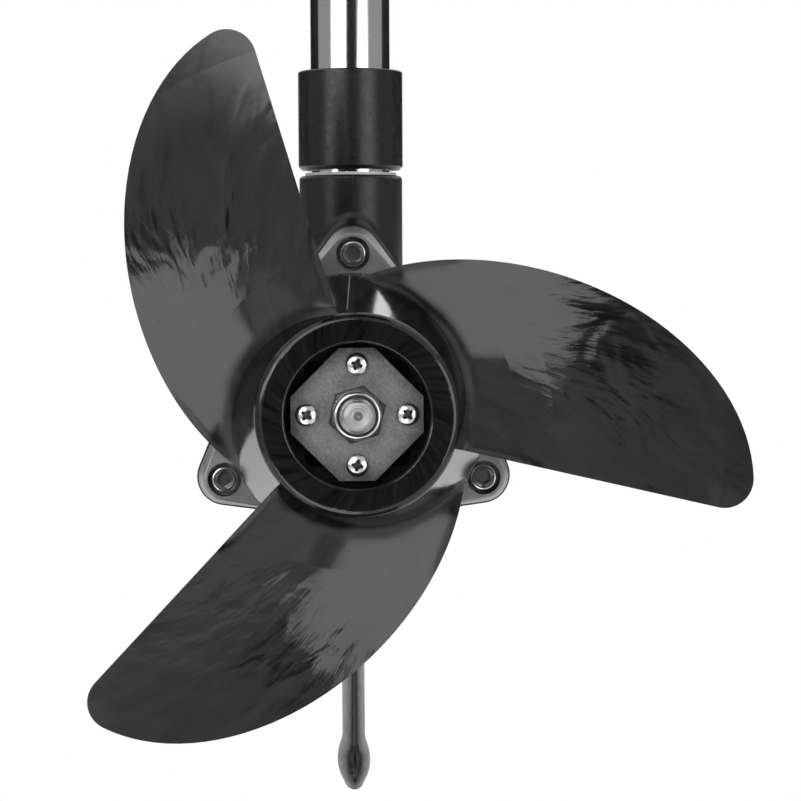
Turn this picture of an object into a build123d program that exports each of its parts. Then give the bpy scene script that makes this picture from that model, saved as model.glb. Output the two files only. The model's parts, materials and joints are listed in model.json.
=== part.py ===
from build123d import *
from math import acos, asin, cos, degrees, pi, radians, sin, sqrt
import os

# Lower unit of an electric trolling motor: tube stub, collar, die-cast motor housing with its skeg,
# end bell, brushed permanent-magnet motor, bearings, seals and a three-bladed propeller.
# Millimetres. +Z runs up the tube, +Y towards the nose, and the propeller is at -Y.
# The origin is the centre of the tube's top end.

# ---------------------------------------------------------------- tube, collar and neck
tube_d = 30.0
tube_seat_d = 29.6  # turned down from the collar's top, which seats on the shoulder
tube_wall = 1.5
tube_reach = 150.0  # tube above the collar
collar_d = 39.3
collar_len = 36.9
collar_edge = 1.3  # chamfer round the lower edge
collar_lip = 0.5
collar_gap = 1.1  # open gap between collar and washer
washer_d = 34.2
washer_t = 1.1
neck_d = 38.8
neck_h = 83.6  # propeller axis to the top of the neck
neck_edge = 1.4  # rounding round the neck's top
socket_depth = 35.6  # hole for the tube, from the neck's top
tube_fit = 0.1  # radial clearance of everything that slides on the tube's seat
tube_ring_drop = 8.0  # neck's top to the tube's O-ring
tube_ring_d = 2.0
lock_screw_d = 6.0
lock_screw_tip_gap = 0.2  # tip of the screw to the tube's bore
lock_screw_drop = 18.0  # neck's top to the lock screw
lock_screw_sink = 0.5
grommet_flange_t = 2.0
grommet_plug_len = 7.0
lead_hole_d = 4.8
lead_hole_gap = 8.0  # between the two lead holes' centres

# ---------------------------------------------------------------- motor housing
pod_d = 86.4
pod_wall = 2.8
joint_y = -30.0  # face where the end bell meets the housing
barrel_end_y = 80.0
nose_len = 45.0
nose_wall = 4.7
ear_count = 3
ear_circle_r = 54.2
ear_r = 10.0  # at the joint
ear_rear_r = 7.5  # at the ear's rear face
ear_round = 0.7  # rounding round the rear face
ear_t = 12.0  # end bell's ear
flange_t = 16.0  # housing's ear, in front of the joint
flange_step = 0.5  # housing's outline stands this much outside the end bell's
flange_bevel = 0.4
neck_blend = 5.0  # fillets from the neck to the barrel and to the top ear
run_out_len = 24.0  # each ear's run-out along the barrel
run_out_foot = 26.0  # its root, inside the barrel's wall
run_out_foot_r = 15.0
run_out_taper = 2.0
run_out_sink = 1.0  # front end's depth under the barrel's surface
tap_run_out = 2.0  # depth of a tapped hole past its screw
shaft_relief_len = 4.0
shaft_relief_gap = 2.0  # radial room round the shaft's front end
cable_way_d = 20.0
ring_groove_play = 1.0  # how much longer an O-ring's groove is than the ring
overlap = 1.0  # joined bodies reach this far into each other before they are fused

# ---------------------------------------------------------------- skeg
skeg_drop = 149.6  # propeller axis to the lowest point
skeg_t = 8.7
skeg_root_len = 100.0
skeg_root_y = 28.0  # middle of the root
skeg_tip_len = 44.0
skeg_tip_y = 12.0
foot_w = 12.6  # the skeg ends in a thicker, rounded foot
foot_len = 56.0
foot_below = 9.8  # half height of the lower half's ellipse
foot_flare = 9.0  # widest level up to where the foot grows out of the skeg
foot_steps = 3  # sections of each half
foot_end_angle = 75.0  # turn of the lower half's outline where it is cut flat
foot_fullness = 0.6  # under 1 the foot stays long for longer towards its lowest point

# ---------------------------------------------------------------- end bell
bell_len = 31.0
bell_straight = 17.0
bell_back_r = 27.0  # flat round the shaft
bell_wall = 4.0
bell_cavity_d = 76.0
spigot_len = 4.0
spigot_fit = 0.1
ring_groove_lip = 1.0  # joint face to the O-ring's groove
bell_screw_d = 6.0
bell_screw_head_d = 9.6
bell_screw_head_h = 6.0
bell_screw_round = 0.9
bell_screw_key = 5.0
bell_screw_mouth_d = 7.0  # countersink of the key's socket
bell_screw_len = 16.0
bell_screw_sink = 6.5  # counterbore depth
bell_counterbore_d = 12.2
screw_fit = 0.05  # radial clearance of a screw in its tapped hole
screw_pass = 0.3  # radial clearance of a screw in a through hole
o_ring_d = 1.8
o_ring_squeeze = 0.05

# ---------------------------------------------------------------- shaft and bearings
shaft_d = 12.0
shaft_mid_d = 14.0
shaft_proud = 2.5  # shaft end behind the hub's rear rim
shaft_chamfer = 1.3
shaft_front_chamfer = 0.5
shaft_tail = 0.5  # shaft in front of its front bearing
shaft_centre_d = 3.2
shaft_centre_depth = 3.0
shaft_centre_angle = 60
bearing_od = 28.0
bearing_w = 8.0
bearing_pitch_r = 10.0
ball_d = 4.6
ball_count = 8
race_gap = 0.15
race_open = 2.0  # open width between the rings
cage_t = 1.4
cage_ring_w = 0.6
cage_ball_gap = 0.1
cage_finger_w = 2.0
cage_finger_len = 3.8
rear_bearing_y = -51.0  # rear face
front_bearing_y = 89.0  # rear face
snug_fit = 0.02  # radial clearance of bearings, seals and the drive pin
seat_overhang = 0.5  # a bearing seat's length past its bearing
preload_t = 0.8
preload_w = 3.5
preload_gap = 0.5  # spring washer's rim to the seat
seal_od = 24.0
seal_w = 4.0
seal_lip_gap = 0.15
seal_step = 1.5  # shoulder between bearing and seals
seal_shoulder = 2.5
seal_skin = 1.2
seal_lip_t = 0.8

# ---------------------------------------------------------------- field and armature
can_wall = 3.2
can_len = 64.0
can_y = 13.0  # rear end of the flux ring
bond_gap = 0.05
magnet_t = 6.4
magnet_span = 130.0
air_gap = 0.8
core_len = 60.0
slot_count = 12
slot_mouth = 2.4
slot_lip = 1.8
slot_top_w = 8.0
slot_bottom_w = 4.4
slot_bottom_r = 17.0
slot_liner = 0.3
overhang = 10.0  # windings past each end of the core
commutator_d = 26.0
commutator_len = 19.0
commutator_y = -38.0  # rear end
commutator_core_r = 10.3
commutator_count = 12
commutator_slit = 0.8
riser_d = 31.0
riser_len = 2.0

# ---------------------------------------------------------------- brush gear
card_t = 2.5
card_d = 73.0
card_bore = 34.0
card_y = -36.0  # rear face
card_post_d = 8.0
card_screw_r = 31.0
card_screw_d = 3.0
card_screw_head_d = 5.6
card_screw_head_h = 2.0
card_screw_len = 8.5
brush_w = 8.0
brush_t = 6.0
brush_len = 14.0
brush_gap = 0.3  # brush to commutator
brush_fit = 0.1
holder_wall = 0.8
holder_start_r = 17.5
spring_len = 8.0
spring_coils = 4
spring_wire = 0.7

# ---------------------------------------------------------------- propeller
hub_gap = 2.0  # end bell to hub
hub_len = 50.0
hub_rear_d = 67.5
hub_front_d = 95.0
hub_wall = 3.4
hub_round = 3.2  # rounding of the rear rim
hub_front_edge = 0.8  # chamfer of the front rim, which the blades stay clear of
recess_d = 48.8
recess_depth = 12.0
recess_edge = 0.8
web_t = 8.0
boss_d = 28.0
boss_len = 28.5  # in front of the web
rib_t = 4.0
rib_len = 20.0
pocket_near = 8.6  # pocket walls, from the axis
pocket_far = 17.7
pocket_corner = 3.0
bore_fit = 0.1
pin_d = 5.0
pin_len = 26.0
pin_fit = 0.15
pin_chamfer = 0.4
blade_count = 3
blade_pitch = 140.0  # forward travel of the blade surface in one turn
blade_line_angle = 106.9  # direction of the first blade's trailing edge
trailing_offset = 3.6  # trailing edge's distance from the axis
outline_out = 52.1  # centre of the outline's ellipse, along the trailing edge
outline_across = 0.7
outline_long_r = 84.3
outline_wide_r = 60.6
outline_tilt = -3.8
tip_corner_r = 10.0
blade_root_t = 5.6
blade_tip_t = 2.2
blade_edge_t = 1.3
blade_setback = 3.4  # rear rim to the trailing edge, along the axis
blade_foot_r = 2.4  # flare where the blade meets the hub
blade_root_sink = 1.0
blade_sections = 10
blade_sweep = 118.0  # turn covered by the sections
blade_lead_in = 7.0  # first section, behind the trailing edge
blade_overrun = 4.0  # length the sections are made past the tip
edge_points = 6
outline_clear = 10.0  # the outline is cut from this far behind the hub

# ---------------------------------------------------------------- nut, washer and anode
nut_sink = 3.0  # washer's seat below the recess floor
nut_washer_d = 21.0
nut_washer_t = 1.5
nut_key = 17.0
nut_turn = 17.0  # how far the nut's hexagon is turned
nut_hex_h = 6.0
nut_collar_d = 16.2
nut_collar_h = 7.0
nut_collar_edge = 1.2
nut_lip = 0.2  # collar's lip over the insert
insert_d = 13.6
insert_h = 4.0
insert_sink = 0.5
thread_gap = 0.05
anode_flats = 40.0
anode_corners = 44.5
anode_t = 4.0
anode_hex_gap = 0.2
anode_screw_r = 16.9
anode_screw_d = 4.0
anode_screw_head_d = 7.8
anode_screw_head_h = 2.6
anode_screw_round = 1.8
anode_screw_len = 11.0

# ---------------------------------------------------------------- places worked out from the sizes above
axis_z = -(tube_reach + collar_len + collar_gap + washer_t + neck_h)
collar_top_z = -tube_reach
collar_z = collar_top_z - collar_len
washer_z = collar_z - collar_gap - washer_t
neck_z = washer_z
tube_r = tube_d / 2
tube_seat_r = tube_seat_d / 2
lock_screw_len = neck_d / 2 - lock_screw_sink - tube_r + tube_wall - lock_screw_tip_gap
pod_r = pod_d / 2
cavity_r = pod_r - pod_wall
bell_back_y = joint_y - bell_len
hub_front_y = bell_back_y - hub_gap
hub_rear_y = hub_front_y - hub_len
recess_y = hub_rear_y + recess_depth
web_y = recess_y + web_t
shaft_end_y = hub_rear_y - shaft_proud
core_y = can_y + (can_len - core_len) / 2
can_r = cavity_r - bond_gap
magnet_out_r = can_r - can_wall - bond_gap
magnet_in_r = magnet_out_r - magnet_t
core_r = magnet_in_r - air_gap
front_bearing_end = front_bearing_y + bearing_w
rear_bearing_end = rear_bearing_y + bearing_w
motor_axis = Axis((0, 0, axis_z), (0, 1, 0))
side_view = Plane(origin=(0, 0, axis_z), x_dir=(0, 1, 0), z_dir=(1, 0, 0))  # local x runs forward


def from_behind(y):
    """Plane across the motor axis at y, seen from behind: x to the right, y up, z towards the viewer."""
    return Plane(origin=(0, y, axis_z), x_dir=(1, 0, 0), z_dir=(0, -1, 0))


def save(piece, name):
    """Labels a finished piece and writes it as one STEP file."""
    piece.part.label = name
    export_step(piece.part, f"parts/{name}.step")


os.makedirs("parts", exist_ok=True)

# ================================================================ tube, collar, washer
socket_z = neck_z - socket_depth
tube_end_z = socket_z + grommet_flange_t
lock_screw_z = neck_z - lock_screw_drop

with BuildPart() as shaft_tube:
    with BuildSketch(Plane.XY):
        Circle(tube_r)
        Circle(tube_r - tube_wall, mode=Mode.SUBTRACT)
    extrude(amount=tube_end_z)
    with BuildSketch(Plane.XY.offset(collar_top_z)):
        Circle(tube_r + overlap)
        Circle(tube_seat_r, mode=Mode.SUBTRACT)
    extrude(amount=tube_end_z - collar_top_z, mode=Mode.SUBTRACT)
    with BuildSketch(Plane(origin=(0, 0, lock_screw_z), x_dir=(1, 0, 0), z_dir=(0, 1, 0))):
        Circle(lock_screw_d / 2 + screw_pass)
    extrude(amount=tube_d, mode=Mode.SUBTRACT)
save(shaft_tube, "shaft_tube")

with BuildPart() as tube_collar:
    with BuildSketch(Plane.XY.offset(collar_z)):
        Circle(collar_d / 2)
        Circle(tube_seat_r + tube_fit, mode=Mode.SUBTRACT)
    extrude(amount=collar_len)
    rims = tube_collar.edges().filter_by(GeomType.CIRCLE).group_by(SortBy.RADIUS)[-1]
    chamfer(rims.sort_by(Axis.Z)[0], collar_edge)
    rims = tube_collar.edges().filter_by(GeomType.CIRCLE).group_by(SortBy.RADIUS)[-1]
    chamfer(rims.sort_by(Axis.Z)[-1], collar_lip)
save(tube_collar, "tube_collar")

with BuildPart() as neck_washer:
    with BuildSketch(Plane.XY.offset(washer_z)):
        Circle(washer_d / 2)
        Circle(tube_seat_r + tube_fit, mode=Mode.SUBTRACT)
    extrude(amount=washer_t)
save(neck_washer, "neck_washer")

tube_ring_z = neck_z - tube_ring_drop
tube_ring_r = tube_seat_r + tube_ring_d / 2 + o_ring_squeeze
with BuildPart() as tube_o_ring:
    with BuildSketch(Plane.XZ):
        with Locations((tube_ring_r, tube_ring_z)):
            Circle(tube_ring_d / 2)
    revolve(axis=Axis.Z)
save(tube_o_ring, "tube_o_ring")

with BuildPart() as tube_lock_screw:
    lock_screw_face = Plane(
        origin=(0, neck_d / 2, lock_screw_z), x_dir=(1, 0, 0), z_dir=(0, 1, 0)
    )
    with BuildSketch(lock_screw_face.offset(-lock_screw_sink)):
        Circle(lock_screw_d / 2)
    extrude(amount=-lock_screw_len)
    with BuildSketch(lock_screw_face.offset(-lock_screw_sink)):
        RegularPolygon(lock_screw_d / 4, 6, major_radius=False)
    extrude(amount=-lock_screw_d / 2, mode=Mode.SUBTRACT)
save(tube_lock_screw, "tube_lock_screw")

# ================================================================ motor housing


def ear_outline(grow=0.0):
    """Pod circle with tangent ears for the clamping screws, in the current sketch plane."""
    Circle(pod_r + grow)
    for k in range(ear_count):
        with BuildSketch(mode=Mode.PRIVATE) as ear:
            Circle(pod_r + grow)
            with Locations((ear_circle_r, 0)):
                Circle(ear_r + grow)
            make_hull()
        add(ear.sketch, rotation=90 + 360 / ear_count * k)


# the end bell's ear and the run-out of the housing's ear along the barrel, both pointing along X
with BuildPart() as bell_ear:
    for height, radius in ((0, ear_r), (ear_t, ear_rear_r)):
        with BuildSketch(Plane.XY.offset(height)):
            Circle(pod_r - overlap / 2)
            with Locations((ear_circle_r, 0)):
                Circle(radius)
            make_hull()
    loft()
    fillet(bell_ear.faces().sort_by(Axis.Z)[-1].edges(), ear_round)
    with BuildSketch(Plane.XY):
        Circle(pod_r - overlap)
    extrude(amount=ear_t, mode=Mode.SUBTRACT)

with BuildPart() as ear_run_out:
    with BuildSketch(Plane.XY):
        with Locations((ear_circle_r, 0)):
            Circle(ear_r)
        with Locations((run_out_foot, 0)):
            Circle(run_out_foot_r)
        make_hull()
    with BuildSketch(Plane.XY.offset(-run_out_len)):
        with Locations((pod_r - run_out_sink - ear_r + run_out_taper, 0)):
            Circle(ear_r - run_out_taper)
        with Locations((run_out_foot - run_out_taper, 0)):
            Circle(run_out_foot_r - run_out_taper)
        make_hull()
    loft()

with BuildPart() as motor_housing:
    # barrel and nose, solid for now
    with BuildSketch(side_view):
        with BuildLine():
            Polyline(
                (barrel_end_y + nose_len, 0),
                (joint_y, 0),
                (joint_y, pod_r),
                (barrel_end_y, pod_r),
            )
            EllipticalCenterArc((barrel_end_y, 0), nose_len, pod_r, start_angle=0, arc_size=90)
        make_face()
    revolve(axis=motor_axis)
    # flange with three ears, bevelled round its rear edge
    with BuildSketch(from_behind(joint_y)):
        ear_outline(flange_step)
    extrude(amount=-flange_t)
    chamfer(motor_housing.faces().sort_by(Axis.Y)[0].outer_wire().edges(), flange_bevel)
    with Locations(from_behind(joint_y + flange_t / 2)):
        with PolarLocations(0, ear_count, start_angle=90):
            add(ear_run_out.part)
    # neck round the tube
    with BuildSketch(Plane.XY.offset(neck_z)):
        Circle(neck_d / 2)
    extrude(amount=-neck_h)
    fillet(motor_housing.edges(Select.NEW), neck_blend)
    fillet(motor_housing.edges().filter_by(GeomType.CIRCLE).sort_by(Axis.Z)[-1], neck_edge)
    # skeg, and the foot that swells out of its lower end and closes like an egg
    foot_z = axis_z - skeg_drop + foot_below * sin(radians(foot_end_angle))
    with BuildSketch(Plane.XY.offset(axis_z - cavity_r)):
        with Locations((0, skeg_root_y)):
            Ellipse(skeg_t / 2, skeg_root_len / 2)
    with BuildSketch(Plane.XY.offset(foot_z + foot_flare)):
        with Locations((0, skeg_tip_y)):
            Ellipse(skeg_t / 2, skeg_tip_len / 2)
    loft()
    for k in range(-foot_steps, foot_steps + 1):
        if k < 0:
            swell = (1 + cos(pi * k / foot_steps)) / 2
            level = foot_z - foot_flare * k / foot_steps
            across = skeg_t / 2 + (foot_w - skeg_t) / 2 * swell
            along = skeg_tip_len / 2 + (foot_len - skeg_tip_len) / 2 * swell
        else:
            turn = radians(foot_end_angle * k / foot_steps)
            level = foot_z - foot_below * sin(turn)
            across = foot_w / 2 * cos(turn)
            along = foot_len / 2 * cos(turn) ** foot_fullness
        with BuildSketch(Plane.XY.offset(level)):
            with Locations((0, skeg_tip_y)):
                Ellipse(across, along)
    loft()
    # hollow inside, with a seat for the front bearing in the nose
    seat_r = bearing_od / 2 + snug_fit
    seat_wall_r = seat_r + bell_wall
    seat_end_y = front_bearing_end + preload_t
    nose_r = cavity_r - (nose_wall - pod_wall)
    nose_depth = nose_len - nose_wall
    can_stop_y = can_y + can_len + bond_gap
    boss_meets_angle = degrees(acos(seat_wall_r / nose_r))
    boss_meets_y = barrel_end_y + nose_depth * sin(radians(boss_meets_angle))
    with BuildSketch(side_view):
        with BuildLine():
            Polyline(
                (barrel_end_y, nose_r),
                (can_stop_y, nose_r),
                (can_stop_y, cavity_r),
                (joint_y, cavity_r),
                (joint_y, 0),
                (seat_end_y + shaft_relief_len, 0),
                (seat_end_y + shaft_relief_len, shaft_d / 2 + shaft_relief_gap),
                (seat_end_y, shaft_d / 2 + shaft_relief_gap),
                (seat_end_y, seat_r),
                (front_bearing_y - seat_overhang, seat_r),
                (front_bearing_y - seat_overhang, seat_wall_r),
                (boss_meets_y, seat_wall_r),
            )
            EllipticalCenterArc(
                (barrel_end_y, 0),
                nose_depth,
                nose_r,
                start_angle=90 - boss_meets_angle,
                arc_size=boss_meets_angle,
            )
        make_face()
    revolve(axis=motor_axis, mode=Mode.SUBTRACT)
    # socket for the tube, cable way below it, groove for the tube's seal
    with BuildSketch(Plane.XY.offset(neck_z)):
        Circle(tube_seat_r + tube_fit)
    extrude(amount=-socket_depth, mode=Mode.SUBTRACT)
    with BuildSketch(Plane.XY.offset(socket_z)):
        Circle(cable_way_d / 2)
    extrude(amount=axis_z - socket_z, mode=Mode.SUBTRACT)
    with BuildSketch(Plane.XZ):
        with Locations((tube_seat_r, tube_ring_z)):
            Rectangle(
                tube_ring_d + 2 * o_ring_squeeze,
                tube_ring_d + ring_groove_play,
                align=(Align.MIN, Align.CENTER),
            )
    revolve(axis=Axis.Z, mode=Mode.SUBTRACT)
    # tapped holes
    with BuildSketch(lock_screw_face):
        Circle(lock_screw_d / 2 + screw_fit)
    extrude(amount=-neck_d / 2, mode=Mode.SUBTRACT)
    with BuildSketch(from_behind(joint_y)):
        with PolarLocations(ear_circle_r, ear_count, start_angle=90):
            Circle(bell_screw_d / 2 + screw_fit)
    extrude(amount=-(bell_screw_len - ear_t + bell_screw_sink + tap_run_out), mode=Mode.SUBTRACT)
save(motor_housing, "motor_housing")

# ================================================================ end bell and its fasteners
spigot_r = cavity_r - spigot_fit
groove_y = joint_y + ring_groove_lip
ring_seat_w = o_ring_d + 2 * o_ring_squeeze
ring_r = cavity_r - o_ring_d / 2 - o_ring_squeeze
seal_r = seal_od / 2 + snug_fit
seal_seat_y = rear_bearing_y - seal_step
bell_floor_y = bell_back_y + 2 * bell_wall
with BuildPart() as rear_end_bell:
    with BuildSketch(side_view):
        with BuildLine():
            Polyline(
                (bell_back_y, bell_back_r),
                (bell_back_y, seal_r),
                (seal_seat_y, seal_r),
                (seal_seat_y, seal_r - seal_shoulder),
                (rear_bearing_y, seal_r - seal_shoulder),
                (rear_bearing_y, seat_r),
                (rear_bearing_end + seat_overhang, seat_r),
                (rear_bearing_end + seat_overhang, seat_wall_r),
                (bell_floor_y, seat_wall_r),
                (bell_floor_y, bell_cavity_d / 2),
                (joint_y + spigot_len, bell_cavity_d / 2),
                (joint_y + spigot_len, spigot_r),
                (groove_y + ring_seat_w, spigot_r),
                (groove_y + ring_seat_w, cavity_r - ring_seat_w),
                (groove_y, cavity_r - ring_seat_w),
                (groove_y, spigot_r),
                (joint_y, spigot_r),
                (joint_y, pod_r),
                (joint_y - bell_straight, pod_r),
            )
            EllipticalCenterArc(
                (joint_y - bell_straight, bell_back_r),
                bell_len - bell_straight,
                pod_r - bell_back_r,
                start_angle=90,
                arc_size=90,
            )
        make_face()
    revolve(axis=motor_axis)
    with Locations(from_behind(joint_y)):
        with PolarLocations(0, ear_count, start_angle=90):
            add(bell_ear.part)
    with BuildSketch(from_behind(joint_y)):
        with PolarLocations(ear_circle_r, ear_count, start_angle=90):
            Circle(bell_screw_d / 2 + screw_pass)
    extrude(amount=ear_t, mode=Mode.SUBTRACT)
    with BuildSketch(from_behind(joint_y - ear_t)):
        with PolarLocations(ear_circle_r, ear_count, start_angle=90):
            Circle(bell_counterbore_d / 2)
    extrude(amount=-bell_screw_sink, mode=Mode.SUBTRACT)
    # posts for the brush card
    with BuildSketch(from_behind(card_y)):
        with PolarLocations(card_screw_r, 2):
            Circle(card_post_d / 2)
    extrude(amount=card_y - bell_floor_y)
    with BuildSketch(from_behind(card_y)):
        with PolarLocations(card_screw_r, 2):
            Circle(card_screw_d / 2 + screw_fit)
    extrude(amount=card_y - bell_floor_y, mode=Mode.SUBTRACT)
save(rear_end_bell, "rear_end_bell")

with BuildPart() as housing_o_ring:
    with BuildSketch(side_view):
        with Locations((groove_y + ring_seat_w / 2, ring_r)):
            Circle(o_ring_d / 2)
    revolve(axis=motor_axis)
save(housing_o_ring, "housing_o_ring")

bell_screw_seat_y = joint_y - ear_t + bell_screw_sink
with BuildPart() as end_bell_screws:
    with BuildSketch(from_behind(bell_screw_seat_y)):
        with PolarLocations(ear_circle_r, ear_count, start_angle=90):
            Circle(bell_screw_head_d / 2)
    extrude(amount=bell_screw_head_h)
    fillet(end_bell_screws.edges().filter_by(GeomType.CIRCLE).group_by(Axis.Y)[0], bell_screw_round)
    with BuildSketch(from_behind(bell_screw_seat_y)):
        with PolarLocations(ear_circle_r, ear_count, start_angle=90):
            Circle(bell_screw_d / 2)
    extrude(amount=-bell_screw_len)
    with BuildSketch(from_behind(bell_screw_seat_y - bell_screw_head_h)):
        with PolarLocations(ear_circle_r, ear_count, start_angle=90):
            RegularPolygon(bell_screw_key / 2, 6, major_radius=False)
    extrude(amount=-bell_screw_head_h / 2, mode=Mode.SUBTRACT)
    with BuildSketch(from_behind(bell_screw_seat_y - bell_screw_head_h)):
        with PolarLocations(ear_circle_r, ear_count, start_angle=90):
            Circle(bell_screw_mouth_d / 2)
    extrude(amount=-(bell_screw_mouth_d - bell_screw_key) / 2, taper=45, mode=Mode.SUBTRACT)
save(end_bell_screws, "end_bell_screws")

# ================================================================ bearings and seals
groove_r = ball_d / 2 + race_gap


def save_bearing(rear_y, name):
    """Deep-groove ball bearing from rear_y forward: two rings, the balls and their crown cage."""
    middle_y = rear_y + bearing_w / 2
    for ring, near_r, far_r in (
        ("inner", shaft_d / 2, bearing_pitch_r - race_open / 2),
        ("outer", bearing_pitch_r + race_open / 2, bearing_od / 2),
    ):
        with BuildPart() as race:
            with BuildSketch(side_view):
                with Locations((middle_y, (near_r + far_r) / 2)):
                    Rectangle(bearing_w, far_r - near_r)
                with Locations((middle_y, bearing_pitch_r)):
                    Circle(groove_r, mode=Mode.SUBTRACT)
            revolve(axis=motor_axis)
        save(race, f"{name}_{ring}")
    with BuildPart() as balls:
        with Locations(from_behind(middle_y)):
            with PolarLocations(bearing_pitch_r, ball_count):
                Sphere(ball_d / 2)
    save(balls, f"{name}_balls")
    cage_y = middle_y + ball_d / 2 + cage_ball_gap + cage_ring_w
    with BuildPart() as cage:
        with BuildSketch(from_behind(cage_y)):
            Circle(bearing_pitch_r + cage_t / 2)
            Circle(bearing_pitch_r - cage_t / 2, mode=Mode.SUBTRACT)
        extrude(amount=cage_ring_w)
        with BuildSketch(from_behind(cage_y)):
            with PolarLocations(bearing_pitch_r, ball_count, start_angle=180 / ball_count):
                Rectangle(cage_t, cage_finger_w)
        extrude(amount=cage_finger_len)
    save(cage, f"{name}_cage")


save_bearing(rear_bearing_y, "rear_bearing")
save_bearing(front_bearing_y, "front_bearing")

with BuildPart() as bearing_spring_washer:
    with BuildSketch(from_behind(front_bearing_end)):
        Circle(bearing_od / 2 - preload_gap)
        Circle(bearing_od / 2 - preload_gap - preload_w, mode=Mode.SUBTRACT)
    extrude(amount=-preload_t)
save(bearing_spring_washer, "bearing_spring_washer")

for seal_name, seal_y in (
    ("inner_shaft_seal", seal_seat_y - seal_w),
    ("outer_shaft_seal", seal_seat_y - 2 * seal_w),
):
    lip_r = shaft_d / 2 + seal_lip_gap
    with BuildPart() as shaft_seal:
        with BuildSketch(side_view):
            with BuildLine():
                Polyline(
                    (seal_y, seal_od / 2),
                    (seal_y + seal_w, seal_od / 2),
                    (seal_y + seal_w, seal_od / 2 - seal_skin),
                    (seal_y + seal_skin, seal_od / 2 - seal_skin),
                    (seal_y + seal_skin, lip_r + 2 * seal_lip_t),
                    (seal_y + seal_w - seal_lip_t / 2, lip_r + 1.5 * seal_lip_t),
                    (seal_y + seal_w - 1.5 * seal_lip_t, lip_r),
                    (seal_y, lip_r + seal_lip_t),
                    close=True,
                )
            make_face()
        revolve(axis=motor_axis)
    save(shaft_seal, seal_name)

# ================================================================ field and armature
with BuildPart() as flux_ring:
    with BuildSketch(from_behind(can_y)):
        Circle(can_r)
        Circle(can_r - can_wall, mode=Mode.SUBTRACT)
    extrude(amount=-can_len)
save(flux_ring, "flux_ring")

for magnet_name, magnet_turn in (("field_magnet_right", 0), ("field_magnet_left", 180)):
    with BuildPart() as field_magnet:
        with BuildSketch(from_behind(core_y)):
            with BuildLine():
                start = magnet_turn - magnet_span / 2
                outer = CenterArc((0, 0), magnet_out_r, start, magnet_span)
                inner = CenterArc((0, 0), magnet_in_r, start, magnet_span)
                Line(outer @ 0, inner @ 0)
                Line(outer @ 1, inner @ 1)
            make_face()
        extrude(amount=-core_len)
    save(field_magnet, magnet_name)


def slot_sketch(shrink, mouth):
    """One armature slot along X, from its root out to the lips."""
    slot_top_r = core_r - slot_lip
    with BuildSketch() as slot:
        Polygon(
            (slot_bottom_r + shrink, slot_bottom_w / 2 - shrink),
            (slot_bottom_r + shrink, shrink - slot_bottom_w / 2),
            (slot_top_r - shrink, shrink - slot_top_w / 2),
            (slot_top_r - shrink, slot_top_w / 2 - shrink),
            align=None,
        )
        if mouth:
            with Locations((slot_top_r, 0)):
                Rectangle(2 * slot_lip, mouth, align=(Align.MIN, Align.CENTER))
    return slot.sketch


with BuildPart() as armature_core:
    with BuildSketch(from_behind(core_y)):
        Circle(core_r)
        Circle(shaft_mid_d / 2, mode=Mode.SUBTRACT)
        with PolarLocations(0, slot_count):
            add(slot_sketch(0, slot_mouth), mode=Mode.SUBTRACT)
    extrude(amount=-core_len)
save(armature_core, "armature_core")

with BuildPart() as armature_windings:
    with BuildSketch(from_behind(core_y - overhang)):
        with PolarLocations(0, slot_count):
            add(slot_sketch(slot_liner, 0))
    extrude(amount=-(core_len + 2 * overhang))
    end_out_r = core_r - slot_lip - slot_liner
    end_in_r = slot_bottom_r + slot_liner
    for end_y in (core_y - overhang / 2, core_y + core_len + overhang / 2):
        with BuildSketch(side_view):
            with Locations((end_y, (end_out_r + end_in_r) / 2)):
                Rectangle(overhang, end_out_r - end_in_r)
        revolve(axis=motor_axis)
save(armature_windings, "armature_windings")

with BuildPart() as commutator_hub:
    with BuildSketch(from_behind(commutator_y)):
        Circle(commutator_core_r - bond_gap)
        Circle(shaft_mid_d / 2, mode=Mode.SUBTRACT)
    extrude(amount=-commutator_len)
save(commutator_hub, "commutator_hub")

with BuildPart() as commutator_bars:
    with BuildSketch(from_behind(commutator_y)):
        Circle(commutator_d / 2)
        Circle(commutator_core_r, mode=Mode.SUBTRACT)
    extrude(amount=-commutator_len)
    with BuildSketch(from_behind(commutator_y + commutator_len)):
        Circle(riser_d / 2)
        Circle(commutator_core_r, mode=Mode.SUBTRACT)
    extrude(amount=riser_len)
    with BuildSketch(from_behind(commutator_y)):
        with PolarLocations(commutator_d / 2, commutator_count):
            Rectangle(commutator_d / 2, commutator_slit)
    extrude(amount=-commutator_len, mode=Mode.SUBTRACT)
save(commutator_bars, "commutator_bars")

shaft_front_y = front_bearing_end + shaft_tail
with BuildPart() as motor_shaft:
    with BuildSketch(from_behind(shaft_end_y)):
        Circle(shaft_d / 2)
    extrude(amount=shaft_end_y - shaft_front_y)
    with BuildSketch(from_behind(rear_bearing_end)):
        Circle(shaft_mid_d / 2)
    extrude(amount=rear_bearing_end - front_bearing_y)
    chamfer(motor_shaft.edges().filter_by(GeomType.CIRCLE).sort_by(Axis.Y)[0], shaft_chamfer)
    chamfer(motor_shaft.edges().filter_by(GeomType.CIRCLE).sort_by(Axis.Y)[-1], shaft_front_chamfer)
    with Locations(from_behind(shaft_end_y)):
        CounterSinkHole(shaft_centre_d / 4, shaft_centre_d / 2, shaft_centre_depth, shaft_centre_angle)
    pin_y = bell_back_y - pin_d
    with BuildSketch(Plane(origin=(0, pin_y, axis_z), x_dir=(0, 1, 0), z_dir=(1, 0, 0))):
        Circle(pin_d / 2 + snug_fit)
    extrude(amount=shaft_d, both=True, mode=Mode.SUBTRACT)
save(motor_shaft, "motor_shaft")

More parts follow.
